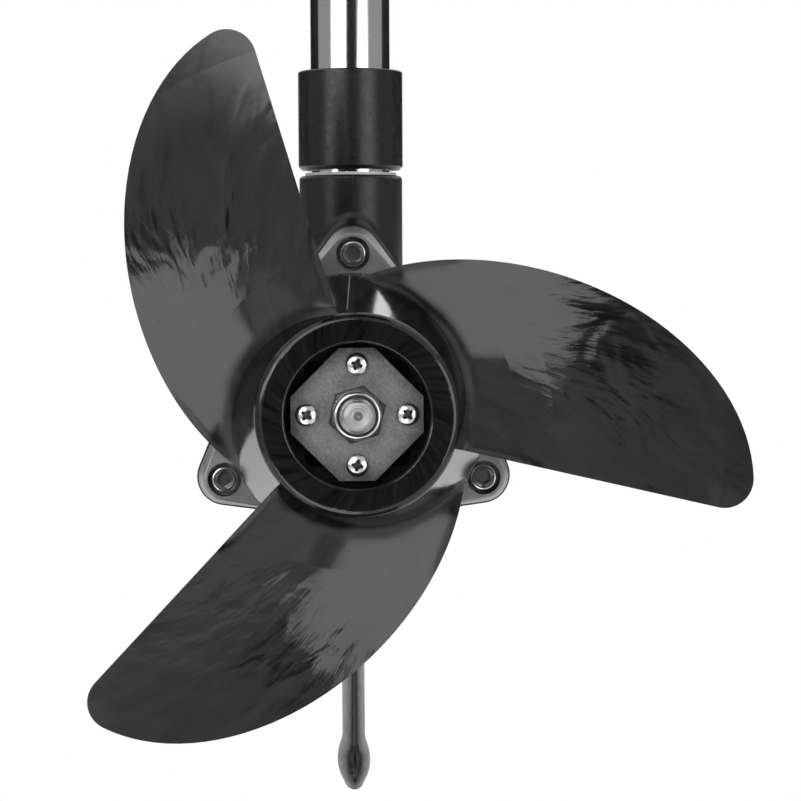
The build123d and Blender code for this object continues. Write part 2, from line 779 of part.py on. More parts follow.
with BuildPart() as drive_pin:
    with BuildSketch(Plane(origin=(0, pin_y, axis_z), x_dir=(0, 1, 0), z_dir=(1, 0, 0))):
        Circle(pin_d / 2)
    extrude(amount=pin_len / 2, both=True)
    chamfer(drive_pin.edges().filter_by(GeomType.CIRCLE), pin_chamfer)
save(drive_pin, "drive_pin")

# ================================================================ brush gear
brush_y = card_y + card_t + holder_wall + brush_fit + brush_t / 2
brush_in_r = commutator_d / 2 + brush_gap
brush_out_r = brush_in_r + brush_len
holder_end_r = brush_out_r + spring_len + holder_wall
holder_w = brush_w + 2 * (brush_fit + holder_wall)
holder_t = brush_t + 2 * (brush_fit + holder_wall)

with BuildPart() as brush_card:
    with BuildSketch(from_behind(card_y)):
        Circle(card_d / 2)
        Circle(card_bore / 2, mode=Mode.SUBTRACT)
        with PolarLocations(card_screw_r, 2):
            Circle(card_screw_d / 2 + screw_pass, mode=Mode.SUBTRACT)
    extrude(amount=-card_t)
save(brush_card, "brush_card")

with BuildPart() as brush_card_screws:
    with BuildSketch(from_behind(card_y + card_t)):
        with PolarLocations(card_screw_r, 2):
            Circle(card_screw_head_d / 2)
    extrude(amount=-card_screw_head_h)
    with BuildSketch(from_behind(card_y + card_t)):
        with PolarLocations(card_screw_r, 2):
            Circle(card_screw_d / 2)
    extrude(amount=card_screw_len)
save(brush_card_screws, "brush_card_screws")

spring_coil_len = spring_len - 2 * spring_wire
with BuildPart() as spring_coil:
    with BuildLine():
        coil = Helix(spring_coil_len / spring_coils, spring_coil_len, brush_t / 2 - spring_wire)
    with BuildSketch(Plane(origin=coil @ 0, x_dir=(1, 0, 0), z_dir=coil % 0)):
        Rectangle(spring_wire, spring_wire)
    sweep(is_frenet=True)

for side_name, side in (("upper", 1), ("lower", -1)):
    outward = Plane(origin=(0, brush_y, axis_z), x_dir=(1, 0, 0), z_dir=(0, 0, side))
    with BuildPart() as brush_holder:
        with BuildSketch(outward.offset(holder_start_r)):
            Rectangle(holder_w, holder_t)
            Rectangle(brush_w + 2 * brush_fit, brush_t + 2 * brush_fit, mode=Mode.SUBTRACT)
        extrude(amount=holder_end_r - holder_start_r)
        with BuildSketch(outward.offset(holder_end_r)):
            Rectangle(holder_w, holder_t)
        extrude(amount=-holder_wall)
    save(brush_holder, f"brush_holder_{side_name}")

    with BuildPart() as carbon_brush:
        with BuildSketch(outward.offset(brush_out_r)):
            Rectangle(brush_w, brush_t)
        extrude(amount=-brush_len - overlap)
        with BuildSketch(from_behind(brush_y - brush_t)):
            Circle(brush_in_r)
        extrude(amount=-2 * brush_t, mode=Mode.SUBTRACT)
    save(carbon_brush, f"carbon_brush_{side_name}")

    with BuildPart() as brush_spring:
        with Locations(outward.offset(brush_out_r + spring_wire)):
            add(spring_coil.part)
    save(brush_spring, f"brush_spring_{side_name}")

# ================================================================ cable grommet under the tube
with BuildPart() as lead_grommet:
    with BuildSketch(Plane.XY.offset(socket_z)):
        Circle(tube_seat_r)
    extrude(amount=grommet_flange_t)
    with BuildSketch(Plane.XY.offset(socket_z)):
        Circle(cable_way_d / 2 - tube_fit)
    extrude(amount=-grommet_plug_len)
    with BuildSketch(Plane.XY.offset(tube_end_z)):
        with GridLocations(lead_hole_gap, 0, 2, 1):
            Circle(lead_hole_d / 2)
    extrude(amount=-(grommet_flange_t + grommet_plug_len), mode=Mode.SUBTRACT)
save(lead_grommet, "lead_grommet")

# ================================================================ propeller
# The blade is modelled round the Z axis with the viewer behind at +Z, as it lies on from_behind planes.
trailing_sweep = blade_line_angle - degrees(asin(trailing_offset / (hub_rear_d / 2)))


def leading_across(out):
    """How far the leading edge stands across from the axis line, at a distance out along the blade."""
    share = (out - outline_out) / outline_long_r
    return outline_across + outline_wide_r * sqrt(max(0.0, 1 - share * share))


def blade_thickness(r, angle):
    """Thickness along the axis: thick at the root and mid-chord, thin at the tip and both edges."""
    out = r * cos(radians(angle - blade_line_angle))
    across = r * sin(radians(angle - blade_line_angle))
    chord = (across + trailing_offset) / (leading_across(out) + trailing_offset)
    chord = min(max(chord, 0.0), 1.0)
    crown = sqrt(4 * chord * (1 - chord))
    body = blade_tip_t + (blade_root_t - blade_tip_t) * (blade_reach - r) / (blade_reach - inner_r)
    return blade_edge_t + (body - blade_edge_t) * crown


def blade_section(angle):
    """Closed outline in the half-plane at an angle round the axis, flared where it meets the hub."""
    back_z = -blade_setback - blade_pitch * (angle - trailing_sweep) / 360
    hub_r = hub_rear_d / 2 - hub_slope * back_z
    foot_r = hub_r + blade_foot_r
    front = []
    for step in range(edge_points):
        r = foot_r + (blade_reach + blade_overrun - foot_r) * step / (edge_points - 1)
        front.append((r, back_z - blade_thickness(r, angle)))
    front_foot = front[0][1] - blade_foot_r
    back_foot = back_z + blade_foot_r
    back_edge = Line((foot_r, back_z), (front[-1][0], back_z))
    Line(back_edge @ 1, front[-1])
    Spline(*reversed(front))
    root_r = hub_r - blade_root_sink
    Polyline(front[0], (root_r, front_foot), (root_r, back_foot), back_edge @ 0)


hub_slope = (hub_front_d - hub_rear_d) / 2 / hub_len
inner_r = hub_rear_d / 2 - hub_wall
blade_reach = outline_out + outline_long_r
with BuildPart() as blade:
    for k in range(blade_sections):
        angle = blade_line_angle - blade_lead_in + blade_sweep * k / (blade_sections - 1)
        outward = Vector(cos(radians(angle)), sin(radians(angle)), 0)
        with BuildSketch(Plane((0, 0, 0), x_dir=outward, z_dir=outward.cross(Vector(0, 0, 1)))):
            with BuildLine() as section:
                blade_section(angle)
            make_face()
    loft()
    with BuildSketch(Plane.XY.offset(outline_clear).rotated((0, 0, blade_line_angle))) as outline:
        with Locations((outline_out, outline_across)):
            Ellipse(outline_long_r, outline_wide_r, rotation=outline_tilt)
        with Locations((outline_out, -trailing_offset)):
            Rectangle(
                3 * outline_long_r,
                2 * outline_wide_r,
                align=(Align.CENTER, Align.MAX),
                mode=Mode.SUBTRACT,
            )
        fillet(outline.vertices().sort_by(Axis.X)[-1], tip_corner_r)
    extrude(amount=-(outline_clear + hub_len - hub_front_edge), mode=Mode.INTERSECT)

with BuildPart() as propeller:
    with BuildSketch(side_view) as hub_profile:
        Polygon(
            (hub_rear_y, 0),
            (hub_rear_y, hub_rear_d / 2),
            (hub_front_y, hub_front_d / 2),
            (hub_front_y, 0),
            align=None,
        )
        fillet(hub_profile.vertices().sort_by(Axis.X)[:2].sort_by(Axis.Y)[-1], hub_round)
        chamfer(hub_profile.vertices().sort_by(Axis.X)[-2:].sort_by(Axis.Y)[-1], hub_front_edge)
    revolve(axis=motor_axis)
    with Locations(from_behind(hub_rear_y)):
        with PolarLocations(0, blade_count):
            add(blade.part)
    # front cavity round the boss
    with BuildSketch(side_view):
        with BuildLine():
            Polyline(
                (hub_front_y + overlap, boss_d / 2),
                (web_y, boss_d / 2),
                (web_y, hub_rear_d / 2 - hub_wall + hub_slope * (web_y - hub_rear_y)),
                (hub_front_y + overlap, hub_front_d / 2 - hub_wall + hub_slope * overlap),
                close=True,
            )
        make_face()
    revolve(axis=motor_axis, mode=Mode.SUBTRACT)
    # ribs from the boss to the wall, and the boss cut back to the drive pin
    with BuildSketch(from_behind(web_y)):
        with PolarLocations(0, 4):
            with Locations((hub_front_d / 4, 0)):
                Rectangle(hub_rear_d / 2 - hub_wall / 2 - boss_d / 4, rib_t)
    extrude(amount=-rib_len)
    with BuildSketch(from_behind(hub_front_y)):
        Circle(boss_d / 2 + overlap)
    extrude(amount=hub_len - recess_depth - web_t - boss_len, mode=Mode.SUBTRACT)
    with BuildSketch(from_behind(pin_y - pin_d / 2 - pin_fit)):
        Rectangle(2 * boss_d, pin_d + 2 * pin_fit)
    extrude(amount=-2 * pin_d, mode=Mode.SUBTRACT)
    # rear recess with its four pockets, seat for the nut, bore and screw holes
    with BuildSketch(from_behind(hub_rear_y)):
        Circle(recess_d / 2)
    extrude(amount=-recess_depth, mode=Mode.SUBTRACT)
    recess_rims = propeller.edges().filter_by(GeomType.CIRCLE).group_by(Axis.Y)[0]
    fillet(recess_rims.sort_by(SortBy.RADIUS)[0], recess_edge)
    pocket = pocket_far - pocket_near
    with BuildSketch(from_behind(recess_y)):
        with GridLocations(pocket_far + pocket_near, pocket_far + pocket_near, 2, 2):
            RectangleRounded(pocket, pocket, pocket_corner)
    extrude(amount=-web_t, mode=Mode.SUBTRACT)
    with BuildSketch(from_behind(recess_y)):
        Circle(nut_washer_d / 2 + bore_fit)
    extrude(amount=-nut_sink, mode=Mode.SUBTRACT)
    with BuildSketch(from_behind(recess_y)):
        Circle(shaft_d / 2 + bore_fit)
    extrude(amount=-hub_len, mode=Mode.SUBTRACT)
    with BuildSketch(from_behind(recess_y)):
        with PolarLocations(anode_screw_r, 4):
            Circle(anode_screw_d / 2 + screw_fit)
    extrude(amount=-anode_screw_len + anode_t, mode=Mode.SUBTRACT)
save(propeller, "propeller")

# ================================================================ nut, washer and anode
nut_seat_y = recess_y + nut_sink
with BuildPart() as prop_washer:
    with BuildSketch(from_behind(nut_seat_y)):
        Circle(nut_washer_d / 2)
        Circle(shaft_d / 2 + bore_fit, mode=Mode.SUBTRACT)
    extrude(amount=nut_washer_t)
save(prop_washer, "prop_washer")

nut_y = nut_seat_y - nut_washer_t
nut_top_y = nut_y - nut_hex_h - nut_collar_h
with BuildPart() as prop_nut:
    with BuildSketch(from_behind(nut_y)):
        RegularPolygon(nut_key / 2, 6, major_radius=False, rotation=nut_turn)
    extrude(amount=nut_hex_h)
    with BuildSketch(from_behind(nut_y)):
        Circle(nut_collar_d / 2)
    extrude(amount=nut_hex_h + nut_collar_h)
    fillet(prop_nut.edges().filter_by(GeomType.CIRCLE).sort_by(Axis.Y)[0], nut_collar_edge)
    with BuildSketch(from_behind(nut_y)):
        Circle(shaft_d / 2 + thread_gap)
    extrude(amount=nut_hex_h + nut_collar_h, mode=Mode.SUBTRACT)
    with BuildSketch(from_behind(nut_top_y + insert_sink)):
        Circle(insert_d / 2 + thread_gap)
    extrude(amount=-insert_h, mode=Mode.SUBTRACT)
    with BuildSketch(from_behind(nut_top_y)):
        Circle(insert_d / 2 - nut_lip)
    extrude(amount=-insert_sink, mode=Mode.SUBTRACT)
save(prop_nut, "prop_nut")

with BuildPart() as nut_insert:
    with BuildSketch(from_behind(nut_top_y + insert_sink)):
        Circle(insert_d / 2)
        Circle(shaft_d / 2 + thread_gap, mode=Mode.SUBTRACT)
    extrude(amount=-insert_h)
save(nut_insert, "nut_insert")

with BuildPart() as anode_plate:
    with BuildSketch(from_behind(recess_y)):
        Rectangle(anode_flats, anode_flats, rotation=45)
        Rectangle(anode_corners, anode_corners, mode=Mode.INTERSECT)
        RegularPolygon(nut_key / 2 + anode_hex_gap, 6, major_radius=False, rotation=nut_turn, mode=Mode.SUBTRACT)
        with PolarLocations(anode_screw_r, 4):
            Circle(anode_screw_d / 2 + screw_pass, mode=Mode.SUBTRACT)
    extrude(amount=anode_t)
save(anode_plate, "anode_plate")

anode_y = recess_y - anode_t
with BuildPart() as anode_screws:
    with BuildSketch(from_behind(anode_y)):
        with PolarLocations(anode_screw_r, 4):
            Circle(anode_screw_head_d / 2)
    extrude(amount=anode_screw_head_h)
    rims = anode_screws.edges().filter_by(GeomType.CIRCLE).group_by(Axis.Y)[0]
    fillet(rims, anode_screw_round)
    with BuildSketch(from_behind(anode_y)):
        with PolarLocations(anode_screw_r, 4):
            Circle(anode_screw_d / 2)
    extrude(amount=-anode_screw_len)
save(anode_screws, "anode_screws")
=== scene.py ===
import json
from math import cos, e, pi, radians, sin

import bmesh
import bpy
from mathutils import Matrix, Quaternion, Vector
from mathutils.bvhtree import BVHTree


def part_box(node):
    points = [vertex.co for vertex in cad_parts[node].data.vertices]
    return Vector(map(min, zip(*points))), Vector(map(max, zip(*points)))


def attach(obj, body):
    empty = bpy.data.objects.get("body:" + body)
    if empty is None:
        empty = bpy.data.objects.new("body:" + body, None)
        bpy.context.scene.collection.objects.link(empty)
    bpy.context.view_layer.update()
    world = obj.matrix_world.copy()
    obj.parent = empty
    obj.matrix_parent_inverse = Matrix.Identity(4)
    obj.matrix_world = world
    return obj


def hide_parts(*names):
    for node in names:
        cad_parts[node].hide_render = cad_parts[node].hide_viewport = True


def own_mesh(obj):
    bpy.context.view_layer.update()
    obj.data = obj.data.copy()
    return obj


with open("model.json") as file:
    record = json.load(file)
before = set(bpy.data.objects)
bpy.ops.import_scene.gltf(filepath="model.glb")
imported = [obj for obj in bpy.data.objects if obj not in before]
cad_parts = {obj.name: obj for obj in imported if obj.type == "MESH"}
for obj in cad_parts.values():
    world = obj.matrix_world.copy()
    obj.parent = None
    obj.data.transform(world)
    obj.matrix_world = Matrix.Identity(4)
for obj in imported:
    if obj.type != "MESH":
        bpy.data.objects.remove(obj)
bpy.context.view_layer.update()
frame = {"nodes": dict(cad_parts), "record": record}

nodes = frame["nodes"]
AXIS_Z = -0.2727  # height of the motor axis
FLOW_SPIRAL = 0.51  # how the flow marks of the moulding lean back along the blades
FLOW_CUT = -32.0  # the gap between two blades where their angle starts again, in degrees
MIN_RADIUS = 0.001  # keeps the logarithm of the radius finite on the axis

# Distances from the motor axis at which the look of the moulded propeller changes.
HUB_RIM = (0.035, 0.039)  # outside the hub's rear rim the blades' feet begin
BLADE_FEET = (0.054, 0.066)  # past them the blades stand free
BLADE_ENDS = (0.098, 0.125)  # waves fade out towards the tips
TIPS = (0.085, 0.125)  # the gloss fades
FOOT_RADIUS = 0.005  # how widely the blades' feet are rounded
ANODE_PAINTED_SHADE = (0.0165, 0.0225)  # painted shade: the anode's colour darkens towards its corners, next to the recess walls


# ---------------------------------------------------------------- materials
RANGE_INPUTS = ("From Min", "From Max", "To Min", "To Max")
MIX_COLOURS = (6, 7)  # colour inputs of a Mix node; its colour output is number 2
MIX_VECTORS = (4, 5)  # vector inputs; the output is number 1


class Mat:
    """Builds one procedural material: noise, bumps and ramps in object space, in metres."""

    def __init__(self, name, color, metallic=0.0, rough=0.4, ior=1.5):
        self.mat = bpy.data.materials.new(name)
        self.mat.use_nodes = True
        self.tree = self.mat.node_tree
        self.bsdf = self.tree.nodes["Principled BSDF"]
        self.bsdf.inputs["Base Color"].default_value = (*color, 1)
        self.bsdf.inputs["Metallic"].default_value = metallic
        self.bsdf.inputs["Roughness"].default_value = rough
        self.bsdf.inputs["IOR"].default_value = ior
        self.color = color
        self.place = self.new("ShaderNodeTexCoord").outputs["Object"]
        self.normal = None

    def new(self, kind, **values):
        node = self.tree.nodes.new(kind)
        for key, value in values.items():
            setattr(node, key, value)
        return node

    def link(self, a, b):
        self.tree.links.new(a, b)

    def math(self, op, a, b=0.0, c=0.0):
        node = self.new("ShaderNodeMath", operation=op)
        for socket, value in zip(node.inputs, (a, b, c)):
            if isinstance(value, (int, float)):
                socket.default_value = value
            else:
                self.link(value, socket)
        return node.outputs[0]

    def stretch(self, scale, place=None):
        """Coordinates scaled per axis, in cycles per metre."""
        node = self.new("ShaderNodeMapping")
        self.link(place or self.place, node.inputs["Vector"])
        node.inputs["Scale"].default_value = scale
        return node.outputs[0]

    def noise(self, scale, detail=3.0, rough=0.5, place=None, distortion=0.0):
        node = self.new("ShaderNodeTexNoise")
        self.link(place or self.place, node.inputs["Vector"])
        node.inputs["Scale"].default_value = scale
        node.inputs["Detail"].default_value = detail
        node.inputs["Roughness"].default_value = rough
        node.inputs["Distortion"].default_value = distortion
        return node.outputs["Fac"]

    def cells(self, scale):
        node = self.new("ShaderNodeTexVoronoi", feature="F1")
        self.link(self.place, node.inputs["Vector"])
        node.inputs["Scale"].default_value = scale
        return node.outputs["Distance"]

    def from_axis(self):
        """x, y and z measured from the motor axis."""
        parts = self.new("ShaderNodeSeparateXYZ")
        self.link(self.place, parts.inputs[0])
        return parts.outputs[0], parts.outputs[1], self.math("SUBTRACT", parts.outputs[2], AXIS_Z)

    def blend(self, a, share_a, b, share_b):
        """The sum of two values, each times its share."""
        return self.math("ADD", self.math("MULTIPLY", a, share_a), self.math("MULTIPLY", b, share_b))

    def outward(self):
        """Distance from the motor axis."""
        x, y, z = self.from_axis()
        return self.math("SQRT", self.blend(x, x, z, z))

    def polar(self, turns, radial, axial, spiral=0.0, cut=180.0):
        """Coordinates round the motor axis: turns per circle, cycles per metre outward and along.
        A spiral leans the outward lines by that many radians each time the radius grows e times;
        the angle jumps at cut, in degrees."""
        x, y, z = self.from_axis()
        back = radians(180 - cut)
        across = self.blend(x, cos(back), z, -sin(back))
        up = self.blend(x, sin(back), z, cos(back))
        out = self.outward()
        grown = self.math("LOGARITHM", self.math("MAXIMUM", out, MIN_RADIUS), e)
        lean = self.math("MULTIPLY", grown, spiral)
        angle = self.math("ADD", self.math("ARCTAN2", up, across), lean)
        join = self.new("ShaderNodeCombineXYZ")
        self.link(self.math("MULTIPLY", angle, turns / (2 * pi)), join.inputs[0])
        self.link(self.math("MULTIPLY", out, radial), join.inputs[1])
        self.link(self.math("MULTIPLY", y, axial), join.inputs[2])
        return join.outputs[0]

    def span(self, value, low, high, start=0.3, end=0.7):
        """Low where the value is at start or below, high at end or above, and a ramp between."""
        node = self.new("ShaderNodeMapRange")
        self.link(value, node.inputs["Value"])
        for key, number in zip(RANGE_INPUTS, (start, end, low, high)):
            node.inputs[key].default_value = number
        return node.outputs[0]

    def rough(self, value, low, high, start=0.3, end=0.7):
        self.link(self.span(value, low, high, start, end), self.bsdf.inputs["Roughness"])
        return self

    def tint(self, value, dark, light, start=0.3, end=0.7):
        """Base colour varied between two multiples of the material's own colour."""
        mix = self.new("ShaderNodeMix", data_type="RGBA")
        for index, times in zip(MIX_COLOURS, (dark, light)):
            mix.inputs[index].default_value = (*[min(c * times, 1) for c in self.color], 1)
        self.link(self.span(value, 0, 1, start, end), mix.inputs[0])
        self.link(mix.outputs[2], self.bsdf.inputs["Base Color"])
        return self

    def bump(self, value, height, strength=1.0):
        """Adds a bump of that height in metres on top of those before it."""
        node = self.new("ShaderNodeBump")
        node.inputs["Distance"].default_value = height
        node.inputs["Strength"].default_value = strength
        self.link(value, node.inputs["Height"])
        if self.normal is not None:
            self.link(self.normal, node.inputs["Normal"])
        self.normal = node.outputs[0]
        self.link(self.normal, self.bsdf.inputs["Normal"])
        return self

    def soften(self, radius, share):
        """Normals rounded over the edges within a radius, by that share."""
        bevel = self.new("ShaderNodeBevel", samples=6)
        bevel.inputs["Radius"].default_value = radius
        flat = self.new("ShaderNodeNewGeometry")
        mix = self.new("ShaderNodeMix", data_type="VECTOR")
        self.link(share, mix.inputs[0])
        for index, normal in zip(MIX_VECTORS, (flat.outputs["Normal"], bevel.outputs[0])):
            self.link(normal, mix.inputs[index])
        self.normal = mix.outputs[1]
        return self


def gloss_black():
    """Glossy moulded black: smooth on the hub, with flow marks that spiral out along the blades."""
    m = Mat("prop_gloss_black", (0.0075, 0.0075, 0.0077), rough=0.15, ior=1.52)
    out = m.outward()
    blade = m.math("MULTIPLY", m.span(out, 0, 1, *BLADE_FEET), m.span(out, 1, 0.12, *BLADE_ENDS))
    feet = m.math("MULTIPLY", m.span(out, 0, 1, *HUB_RIM), m.span(out, 1, 0, *BLADE_FEET))
    m.soften(FOOT_RADIUS, feet)
    flow = m.polar(1, 1, 1, spiral=FLOW_SPIRAL, cut=FLOW_CUT)
    streaks = m.noise(1.0, 3, 0.55, m.stretch((330, 150, 60), flow), 0.3)
    strokes = m.noise(1.0, 3, 0.5, m.stretch((130, 70, 40), flow), 0.5)
    lobes = m.noise(1.0, 2, 0.5, m.stretch((34, 40, 30), flow), 0.6)
    tips = m.span(out, 0, 0.07, *TIPS)
    m.rough(m.math("ADD", m.span(strokes, 0.08, 0.13), tips), 0, 1, 0, 1)
    cloud = m.blend(strokes, 0.45, lobes, 0.55)
    m.tint(cloud, 0.35, 1.8, 0.35, 0.65)
    m.bump(m.math("MULTIPLY", lobes, blade), 0.0006)
    m.bump(m.math("MULTIPLY", strokes, blade), 0.00009)
    m.bump(m.math("MULTIPLY", streaks, blade), 0.000032)
    m.bump(m.noise(260, 3, 0.5), 0.00003, 0.6)
    return m.mat


def coat_black(name, color, rough, grain, metallic=0.0):
    """Painted or moulded: fine grain on a slow wave."""
    m = Mat(name, color, metallic, rough)
    grains = m.noise(1500, 3, 0.6)
    wave = m.noise(120, 3, 0.5)
    m.rough(m.noise(400, 4, 0.6), rough - 0.05, rough + 0.09)
    m.tint(wave, 0.85, 1.2)
    m.bump(wave, 0.00008, 0.4)
    m.bump(grains, grain, 0.8)
    return m.mat


def polished_steel(name, color, rough, along):
    """Brushed lines, stretched as the cycles per metre along x, y and z say."""
    m = Mat(name, color, 1.0, rough)
    lines = m.noise(1.0, 3, 0.6, m.stretch(along))
    cloud = m.noise(40, 3, 0.5)
    m.rough(m.blend(lines, 0.6, cloud, 0.4), rough - 0.04, rough + 0.07)
    m.tint(cloud, 0.95, 1.05)
    m.bump(lines, 0.000012, 0.35)
    return m.mat


def turned_steel(name, color, rough):
    """Fine rings round the motor axis, as a lathe leaves them."""
    m = Mat(name, color, 1.0, rough)
    rings = m.noise(1.0, 2, 0.6, m.polar(0.6, 2300, 2300))
    m.rough(rings, rough - 0.06, rough + 0.1)
    m.tint(m.noise(300, 3), 0.9, 1.08)
    m.bump(rings, 0.00022)
    return m.mat


def cast_zinc():
    """Grainy casting, patchy, with painted shade that darkens its colour towards its corners."""
    m = Mat("anode_cast", (0.185, 0.185, 0.182), 0.5, 0.5)
    grain = m.noise(1500, 4, 0.7)
    patch = m.noise(160, 4, 0.6)
    speck = m.cells(900)
    worn = m.blend(grain, 0.65, patch, 0.35)
    # painted shade: the plate's colour darkens towards its corners, where the recess walls shade it
    rim = m.span(m.outward(), 0, 0.2, *ANODE_PAINTED_SHADE)
    m.tint(m.math("SUBTRACT", worn, rim), 0.3, 1.5, 0.2, 0.75)
    m.rough(patch, 0.42, 0.62)
    m.bump(speck, 0.00008, 0.35)
    m.bump(grain, 0.0001, 0.5)
    return m.mat


def plain(name, color, metallic, rough, scale=700, height=0.00004, dark=0.85, light=1.12):
    """Even material with a fine grain of scale cycles per metre."""
    m = Mat(name, color, metallic, rough)
    grain = m.noise(scale, 4, 0.6)
    m.tint(m.noise(scale / 8, 3, 0.5), dark, light)
    m.rough(grain, max(rough - 0.08, 0.05), min(rough + 0.08, 1.0))
    m.bump(grain, height, 0.6)
    return m.mat


def laminated():
    """Thin sheets stacked along the motor axis."""
    m = Mat("core_laminations", (0.30, 0.30, 0.32), 0.9, 0.42)
    sheets = m.noise(1.0, 1, 0.5, m.stretch((8, 2000, 8)))
    m.tint(sheets, 0.6, 1.2)
    m.rough(sheets, 0.35, 0.55)
    m.bump(sheets, 0.0002, 0.8)
    return m.mat


def wound_copper():
    """Enamelled wires that lie round the motor axis."""
    m = Mat("enamelled_copper", (0.50, 0.20, 0.075), 0.75, 0.28)
    wires = m.noise(1.0, 2, 0.5, m.polar(90, 1100, 300))
    m.tint(wires, 0.5, 1.25)
    m.rough(wires, 0.2, 0.4)
    m.bump(wires, 0.0005, 0.9)
    return m.mat


materials = {
    "prop_black": gloss_black(),
    "housing_black": coat_black("housing_coat", (0.0072, 0.0072, 0.0074), 0.34, 0.00002),
    "collar_plastic": coat_black("collar_moulded", (0.0065, 0.0065, 0.0066), 0.3, 0.00003),
    "bell_black": coat_black("bell_satin_coat", (0.35, 0.35, 0.351), 0.46, 0.000015, 0.92),
    "stainless_tube": polished_steel("tube_polished", (0.64, 0.64, 0.645), 0.12, (900, 900, 14)),
    "hardware": polished_steel("hardware_stainless", (0.66, 0.66, 0.65), 0.2, (500, 500, 500)),
    "shaft_steel": turned_steel("shaft_turned", (0.62, 0.62, 0.615), 0.3),
    "anode_zinc": cast_zinc(),
    "washer_nylon": plain("washer_nylon", (0.66, 0.66, 0.65), 0.0, 0.5),
    "rubber": plain("seal_rubber", (0.02, 0.02, 0.02), 0.0, 0.6, 900),
    "insert_nylon": plain("insert_nylon", (0.02, 0.02, 0.021), 0.0, 0.42),
    "plain_steel": plain("field_steel", (0.38, 0.38, 0.39), 0.9, 0.42),
    "core_steel": laminated(),
    "ferrite": plain("magnet_ferrite", (0.055, 0.055, 0.06), 0.1, 0.62, 500),
    "copper_wire": wound_copper(),
    "copper": plain("commutator_copper", (0.68, 0.33, 0.18), 1.0, 0.25, 900),
    "moulding": plain("phenolic_moulding", (0.16, 0.09, 0.05), 0.0, 0.5),
    "card": plain("card_laminate", (0.33, 0.23, 0.10), 0.0, 0.55, 400),
    "brass": plain("holder_brass", (0.68, 0.49, 0.20), 1.0, 0.28),
    "spring_steel": plain("spring_steel", (0.42, 0.42, 0.43), 1.0, 0.3),
    "carbon": plain("brush_carbon", (0.045, 0.045, 0.05), 0.2, 0.55, 900),
    "bearing_steel": plain("bearing_steel", (0.68, 0.68, 0.68), 1.0, 0.12, 900, 0.00001),
    "cage_nylon": plain("cage_nylon", (0.55, 0.50, 0.38), 0.0, 0.5),
}
slots = {s["node"]: s["material_slot"] for s in frame["record"]["subparts"]}
for name, obj in nodes.items():
    for index in range(len(obj.material_slots)):
        obj.material_slots[index].material = materials[slots[name]]


# ---------------------------------------------------------------- cross-head screws on the anode
def lathe(profile, steps):
    """Mesh turned about the y axis from (radius, y) points that start and end on it."""
    bm = bmesh.new()
    rings = []
    for radius, y in profile:
        if radius == 0:
            rings.append([bm.verts.new((0, y, 0))])
        else:
            turn = [2 * pi * i / steps for i in range(steps)]
            rings.append([bm.verts.new((radius * cos(t), y, radius * sin(t))) for t in turn])
    for low, high in zip(rings, rings[1:]):
        for i in range(steps):
            j = (i + 1) % steps
            corners = [low[i % len(low)], low[j % len(low)], high[j % len(high)], high[i % len(high)]]
            bm.faces.new(list(dict.fromkeys(corners)))
    bmesh.ops.recalc_face_normals(bm, faces=bm.faces)
    return bm


def closed_sleeve(bm, rings):
    """Faces between rings of as many points each, and one over each end."""
    for first, second in zip(rings, rings[1:]):
        for i in range(len(first)):
            j = (i + 1) % len(first)
            bm.faces.new((first[i], first[j], second[j], second[i]))
    bm.faces.new(rings[0])
    bm.faces.new(rings[-1])
    bmesh.ops.recalc_face_normals(bm, faces=bm.faces)
    return bm


def cross_cutter(top, bottom):
    """Tapered cross along y, from a top to a bottom of (y, reach, half width of the wings)."""
    bm = bmesh.new()
    rings = []
    for y, far, half in (top, bottom):
        notch = half * CROSS_NOTCH
        ring = []
        for quarter in range(4):
            a = quarter * pi / 2
            for u, v in ((far, -half), (far, half), (notch, notch)):
                ring.append(bm.verts.new((u * cos(a) - v * sin(a), y, u * sin(a) + v * cos(a))))
        rings.append(ring)
    return closed_sleeve(bm, rings)


def as_object(name, bm):
    mesh = bpy.data.meshes.new(name)
    bm.to_mesh(mesh)
    bm.free()
    obj = bpy.data.objects.new(name, mesh)
    bpy.context.collection.objects.link(obj)
    return obj


HEAD_R = 0.0039
HEAD_H = 0.0026
HEAD_SIDE = 0.0008  # height of the head's rim, where its dome starts
HEAD_STEP = 6  # degrees between two points of the dome
SHANK_R = 0.002
SCREW_STEPS = 56
SHARP_EDGE = radians(32)
CROSS_NOTCH = 1.5  # inner corner of two wings, in half widths
CROSS_REACH, CROSS_WING = 0.0025, 0.00052
CROSS_TIP_REACH, CROSS_TIP_WING = 0.0009, 0.0003
CROSS_ABOVE = 0.0004  # how far the cutter stands out of the head
CROSS_FLOOR = 0.0007  # from the plate to the bottom of the cross
RECESS_R = 0.0027  # faces inside this and under the dome belong to the cross, whose deep ones get painted shade
UNDER_DOME = 0.00008
RECESS_FLOOR = 0.0006
SCREW_TURNS = ((0, 50), (90, 22), (180, 38), (270, 14))  # where each sits, and its cross's turn
# painted shade: a dark material that stands in for the shade deep in each screw's cross
painted_cross_shade = plain("screw_cross_painted_shade", (0.09, 0.088, 0.082), 0.7, 0.55, 2500, 0.00008, 0.5, 1.6)
screws_low, screws_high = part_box("anode_screws")
plate_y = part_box("anode_plate")[0][1]
screw_out = (screws_high[0] - screws_low[0]) / 2 - HEAD_R


def dome(radius):
    """Height of the head above the plate at a distance from the screw's axis."""
    return HEAD_SIDE + (HEAD_H - HEAD_SIDE) * (1 - (radius / HEAD_R) ** 2) ** 0.5


